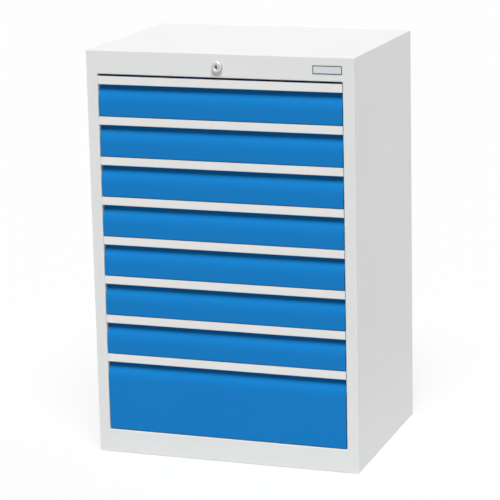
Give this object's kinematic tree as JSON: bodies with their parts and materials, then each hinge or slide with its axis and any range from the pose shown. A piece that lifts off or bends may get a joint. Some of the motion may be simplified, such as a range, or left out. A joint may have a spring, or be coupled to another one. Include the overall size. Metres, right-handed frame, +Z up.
{
  "type": "steel drawer cabinet",
  "caption": "Free-standing sheet-steel drawer cabinet with telescopic runners, finger-recess fronts with grip strips, and a central cylinder lock.",
  "frame": {"origin": "on the floor, under the middle of the cabinet body", "axes": "+X to the right seen from the front, +Y to the back, +Z up"},
  "size_m": [0.68, 0.508, 1.019],
  "materials": {
    "body_paint": "powder coated light grey, satin",
    "front_paint": "powder coated sky blue, satin",
    "grip_paint": "powder coated light grey, satin",
    "tray_paint": "powder coated light grey, fine texture",
    "runner_steel": "zinc plated",
    "galvanised_steel": "zinc plated",
    "plate_aluminium": "satin anodised",
    "lock_chrome": "nickel plated",
    "guide_plastic": "moulded"
  },
  "bodies": {
    "cabinet": {"side_panel_left": "body_paint", "side_panel_right": "body_paint", "top_panel": "body_paint", "base_panel": "body_paint", "back_panel": "body_paint", "top_rail": "body_paint", "plinth_rail": "body_paint", "uprights_left": "galvanised_steel", "uprights_right": "galvanised_steel", "cabinet_rails_left": "runner_steel", "cabinet_rails_right": "runner_steel", "name_plate": "plate_aluminium", "lock_housing": "lock_chrome", "lock_nut": "galvanised_steel", "lock_guides": "guide_plastic"},
    "lock_barrel": {"lock_barrel": "lock_chrome", "lock_cam": "galvanised_steel"},
    "lock_link": {"lock_link": "galvanised_steel"},
    "lock_bar": {"lock_bar": "galvanised_steel"},
    "drawer_1": {"drawer_1_tray": "tray_paint", "drawer_1_front": "front_paint", "drawer_1_grip": "grip_paint", "drawer_1_rails": "runner_steel"},
    "runner_1": {"runner_1_middle": "runner_steel"},
    "drawer_2": {"drawer_2_tray": "tray_paint", "drawer_2_front": "front_paint", "drawer_2_grip": "grip_paint", "drawer_2_rails": "runner_steel"},
    "runner_2": {"runner_2_middle": "runner_steel"},
    "drawer_3": {"drawer_3_tray": "tray_paint", "drawer_3_front": "front_paint", "drawer_3_grip": "grip_paint", "drawer_3_rails": "runner_steel"},
    "runner_3": {"runner_3_middle": "runner_steel"},
    "drawer_4": {"drawer_4_tray": "tray_paint", "drawer_4_front": "front_paint", "drawer_4_grip": "grip_paint", "drawer_4_rails": "runner_steel"},
    "runner_4": {"runner_4_middle": "runner_steel"},
    "drawer_5": {"drawer_5_tray": "tray_paint", "drawer_5_front": "front_paint", "drawer_5_grip": "grip_paint", "drawer_5_rails": "runner_steel"},
    "runner_5": {"runner_5_middle": "runner_steel"},
    "drawer_6": {"drawer_6_tray": "tray_paint", "drawer_6_front": "front_paint", "drawer_6_grip": "grip_paint", "drawer_6_rails": "runner_steel"},
    "runner_6": {"runner_6_middle": "runner_steel"},
    "drawer_7": {"drawer_7_tray": "tray_paint", "drawer_7_front": "front_paint", "drawer_7_grip": "grip_paint", "drawer_7_rails": "runner_steel"},
    "runner_7": {"runner_7_middle": "runner_steel"},
    "drawer_8": {"drawer_8_tray": "tray_paint", "drawer_8_front": "front_paint", "drawer_8_grip": "grip_paint", "drawer_8_rails": "runner_steel"},
    "runner_8": {"runner_8_middle": "runner_steel"}
  },
  "joints": [
    {"name": "lock_bar_lift", "type": "slide", "parent": "cabinet", "child": "lock_bar", "axis": [0, 0, 1], "range_m": [0, 0.01414]},
    {"name": "lock_link_slide", "type": "slide", "parent": "cabinet", "child": "lock_link", "axis": [1, 0, 0], "range_m": [0, 0.01415]},
    {"name": "lock_turn", "type": "hinge", "parent": "cabinet", "child": "lock_barrel", "pos_m": [0, -0.236, 0.9882], "axis": [0, 1, 0], "range_deg": [0, 90.06]},
    {"name": "drawer_1_slide", "type": "slide", "parent": "cabinet", "child": "drawer_1", "axis": [0, -1, 0], "range_m": [0, 0.44]},
    {"name": "runner_1_slide", "type": "slide", "parent": "cabinet", "child": "runner_1", "axis": [0, -1, 0], "range_m": [0, 0.22]},
    {"name": "drawer_2_slide", "type": "slide", "parent": "cabinet", "child": "drawer_2", "axis": [0, -1, 0], "range_m": [0, 0.44]},
    {"name": "runner_2_slide", "type": "slide", "parent": "cabinet", "child": "runner_2", "axis": [0, -1, 0], "range_m": [0, 0.22]},
    {"name": "drawer_3_slide", "type": "slide", "parent": "cabinet", "child": "drawer_3", "axis": [0, -1, 0], "range_m": [0, 0.44]},
    {"name": "runner_3_slide", "type": "slide", "parent": "cabinet", "child": "runner_3", "axis": [0, -1, 0], "range_m": [0, 0.22]},
    {"name": "drawer_4_slide", "type": "slide", "parent": "cabinet", "child": "drawer_4", "axis": [0, -1, 0], "range_m": [0, 0.44]},
    {"name": "runner_4_slide", "type": "slide", "parent": "cabinet", "child": "runner_4", "axis": [0, -1, 0], "range_m": [0, 0.22]},
    {"name": "drawer_5_slide", "type": "slide", "parent": "cabinet", "child": "drawer_5", "axis": [0, -1, 0], "range_m": [0, 0.44]},
    {"name": "runner_5_slide", "type": "slide", "parent": "cabinet", "child": "runner_5", "axis": [0, -1, 0], "range_m": [0, 0.22]},
    {"name": "drawer_6_slide", "type": "slide", "parent": "cabinet", "child": "drawer_6", "axis": [0, -1, 0], "range_m": [0, 0.44]},
    {"name": "runner_6_slide", "type": "slide", "parent": "cabinet", "child": "runner_6", "axis": [0, -1, 0], "range_m": [0, 0.22]},
    {"name": "drawer_7_slide", "type": "slide", "parent": "cabinet", "child": "drawer_7", "axis": [0, -1, 0], "range_m": [0, 0.44]},
    {"name": "runner_7_slide", "type": "slide", "parent": "cabinet", "child": "runner_7", "axis": [0, -1, 0], "range_m": [0, 0.22]},
    {"name": "drawer_8_slide", "type": "slide", "parent": "cabinet", "child": "drawer_8", "axis": [0, -1, 0], "range_m": [0, 0.44]},
    {"name": "runner_8_slide", "type": "slide", "parent": "cabinet", "child": "runner_8", "axis": [0, -1, 0], "range_m": [0, 0.22]}
  ],
  "couplings": [
    {"joint": "lock_link_slide", "follows": "lock_bar_lift", "ratio": 1},
    {"joint": "lock_turn", "follows": "lock_bar_lift", "rad_per_m": 111.07},
    {"joint": "runner_1_slide", "follows": "drawer_1_slide", "ratio": 0.5},
    {"joint": "runner_2_slide", "follows": "drawer_2_slide", "ratio": 0.5},
    {"joint": "runner_3_slide", "follows": "drawer_3_slide", "ratio": 0.5},
    {"joint": "runner_4_slide", "follows": "drawer_4_slide", "ratio": 0.5},
    {"joint": "runner_5_slide", "follows": "drawer_5_slide", "ratio": 0.5},
    {"joint": "runner_6_slide", "follows": "drawer_6_slide", "ratio": 0.5},
    {"joint": "runner_7_slide", "follows": "drawer_7_slide", "ratio": 0.5},
    {"joint": "runner_8_slide", "follows": "drawer_8_slide", "ratio": 0.5}
  ]
}
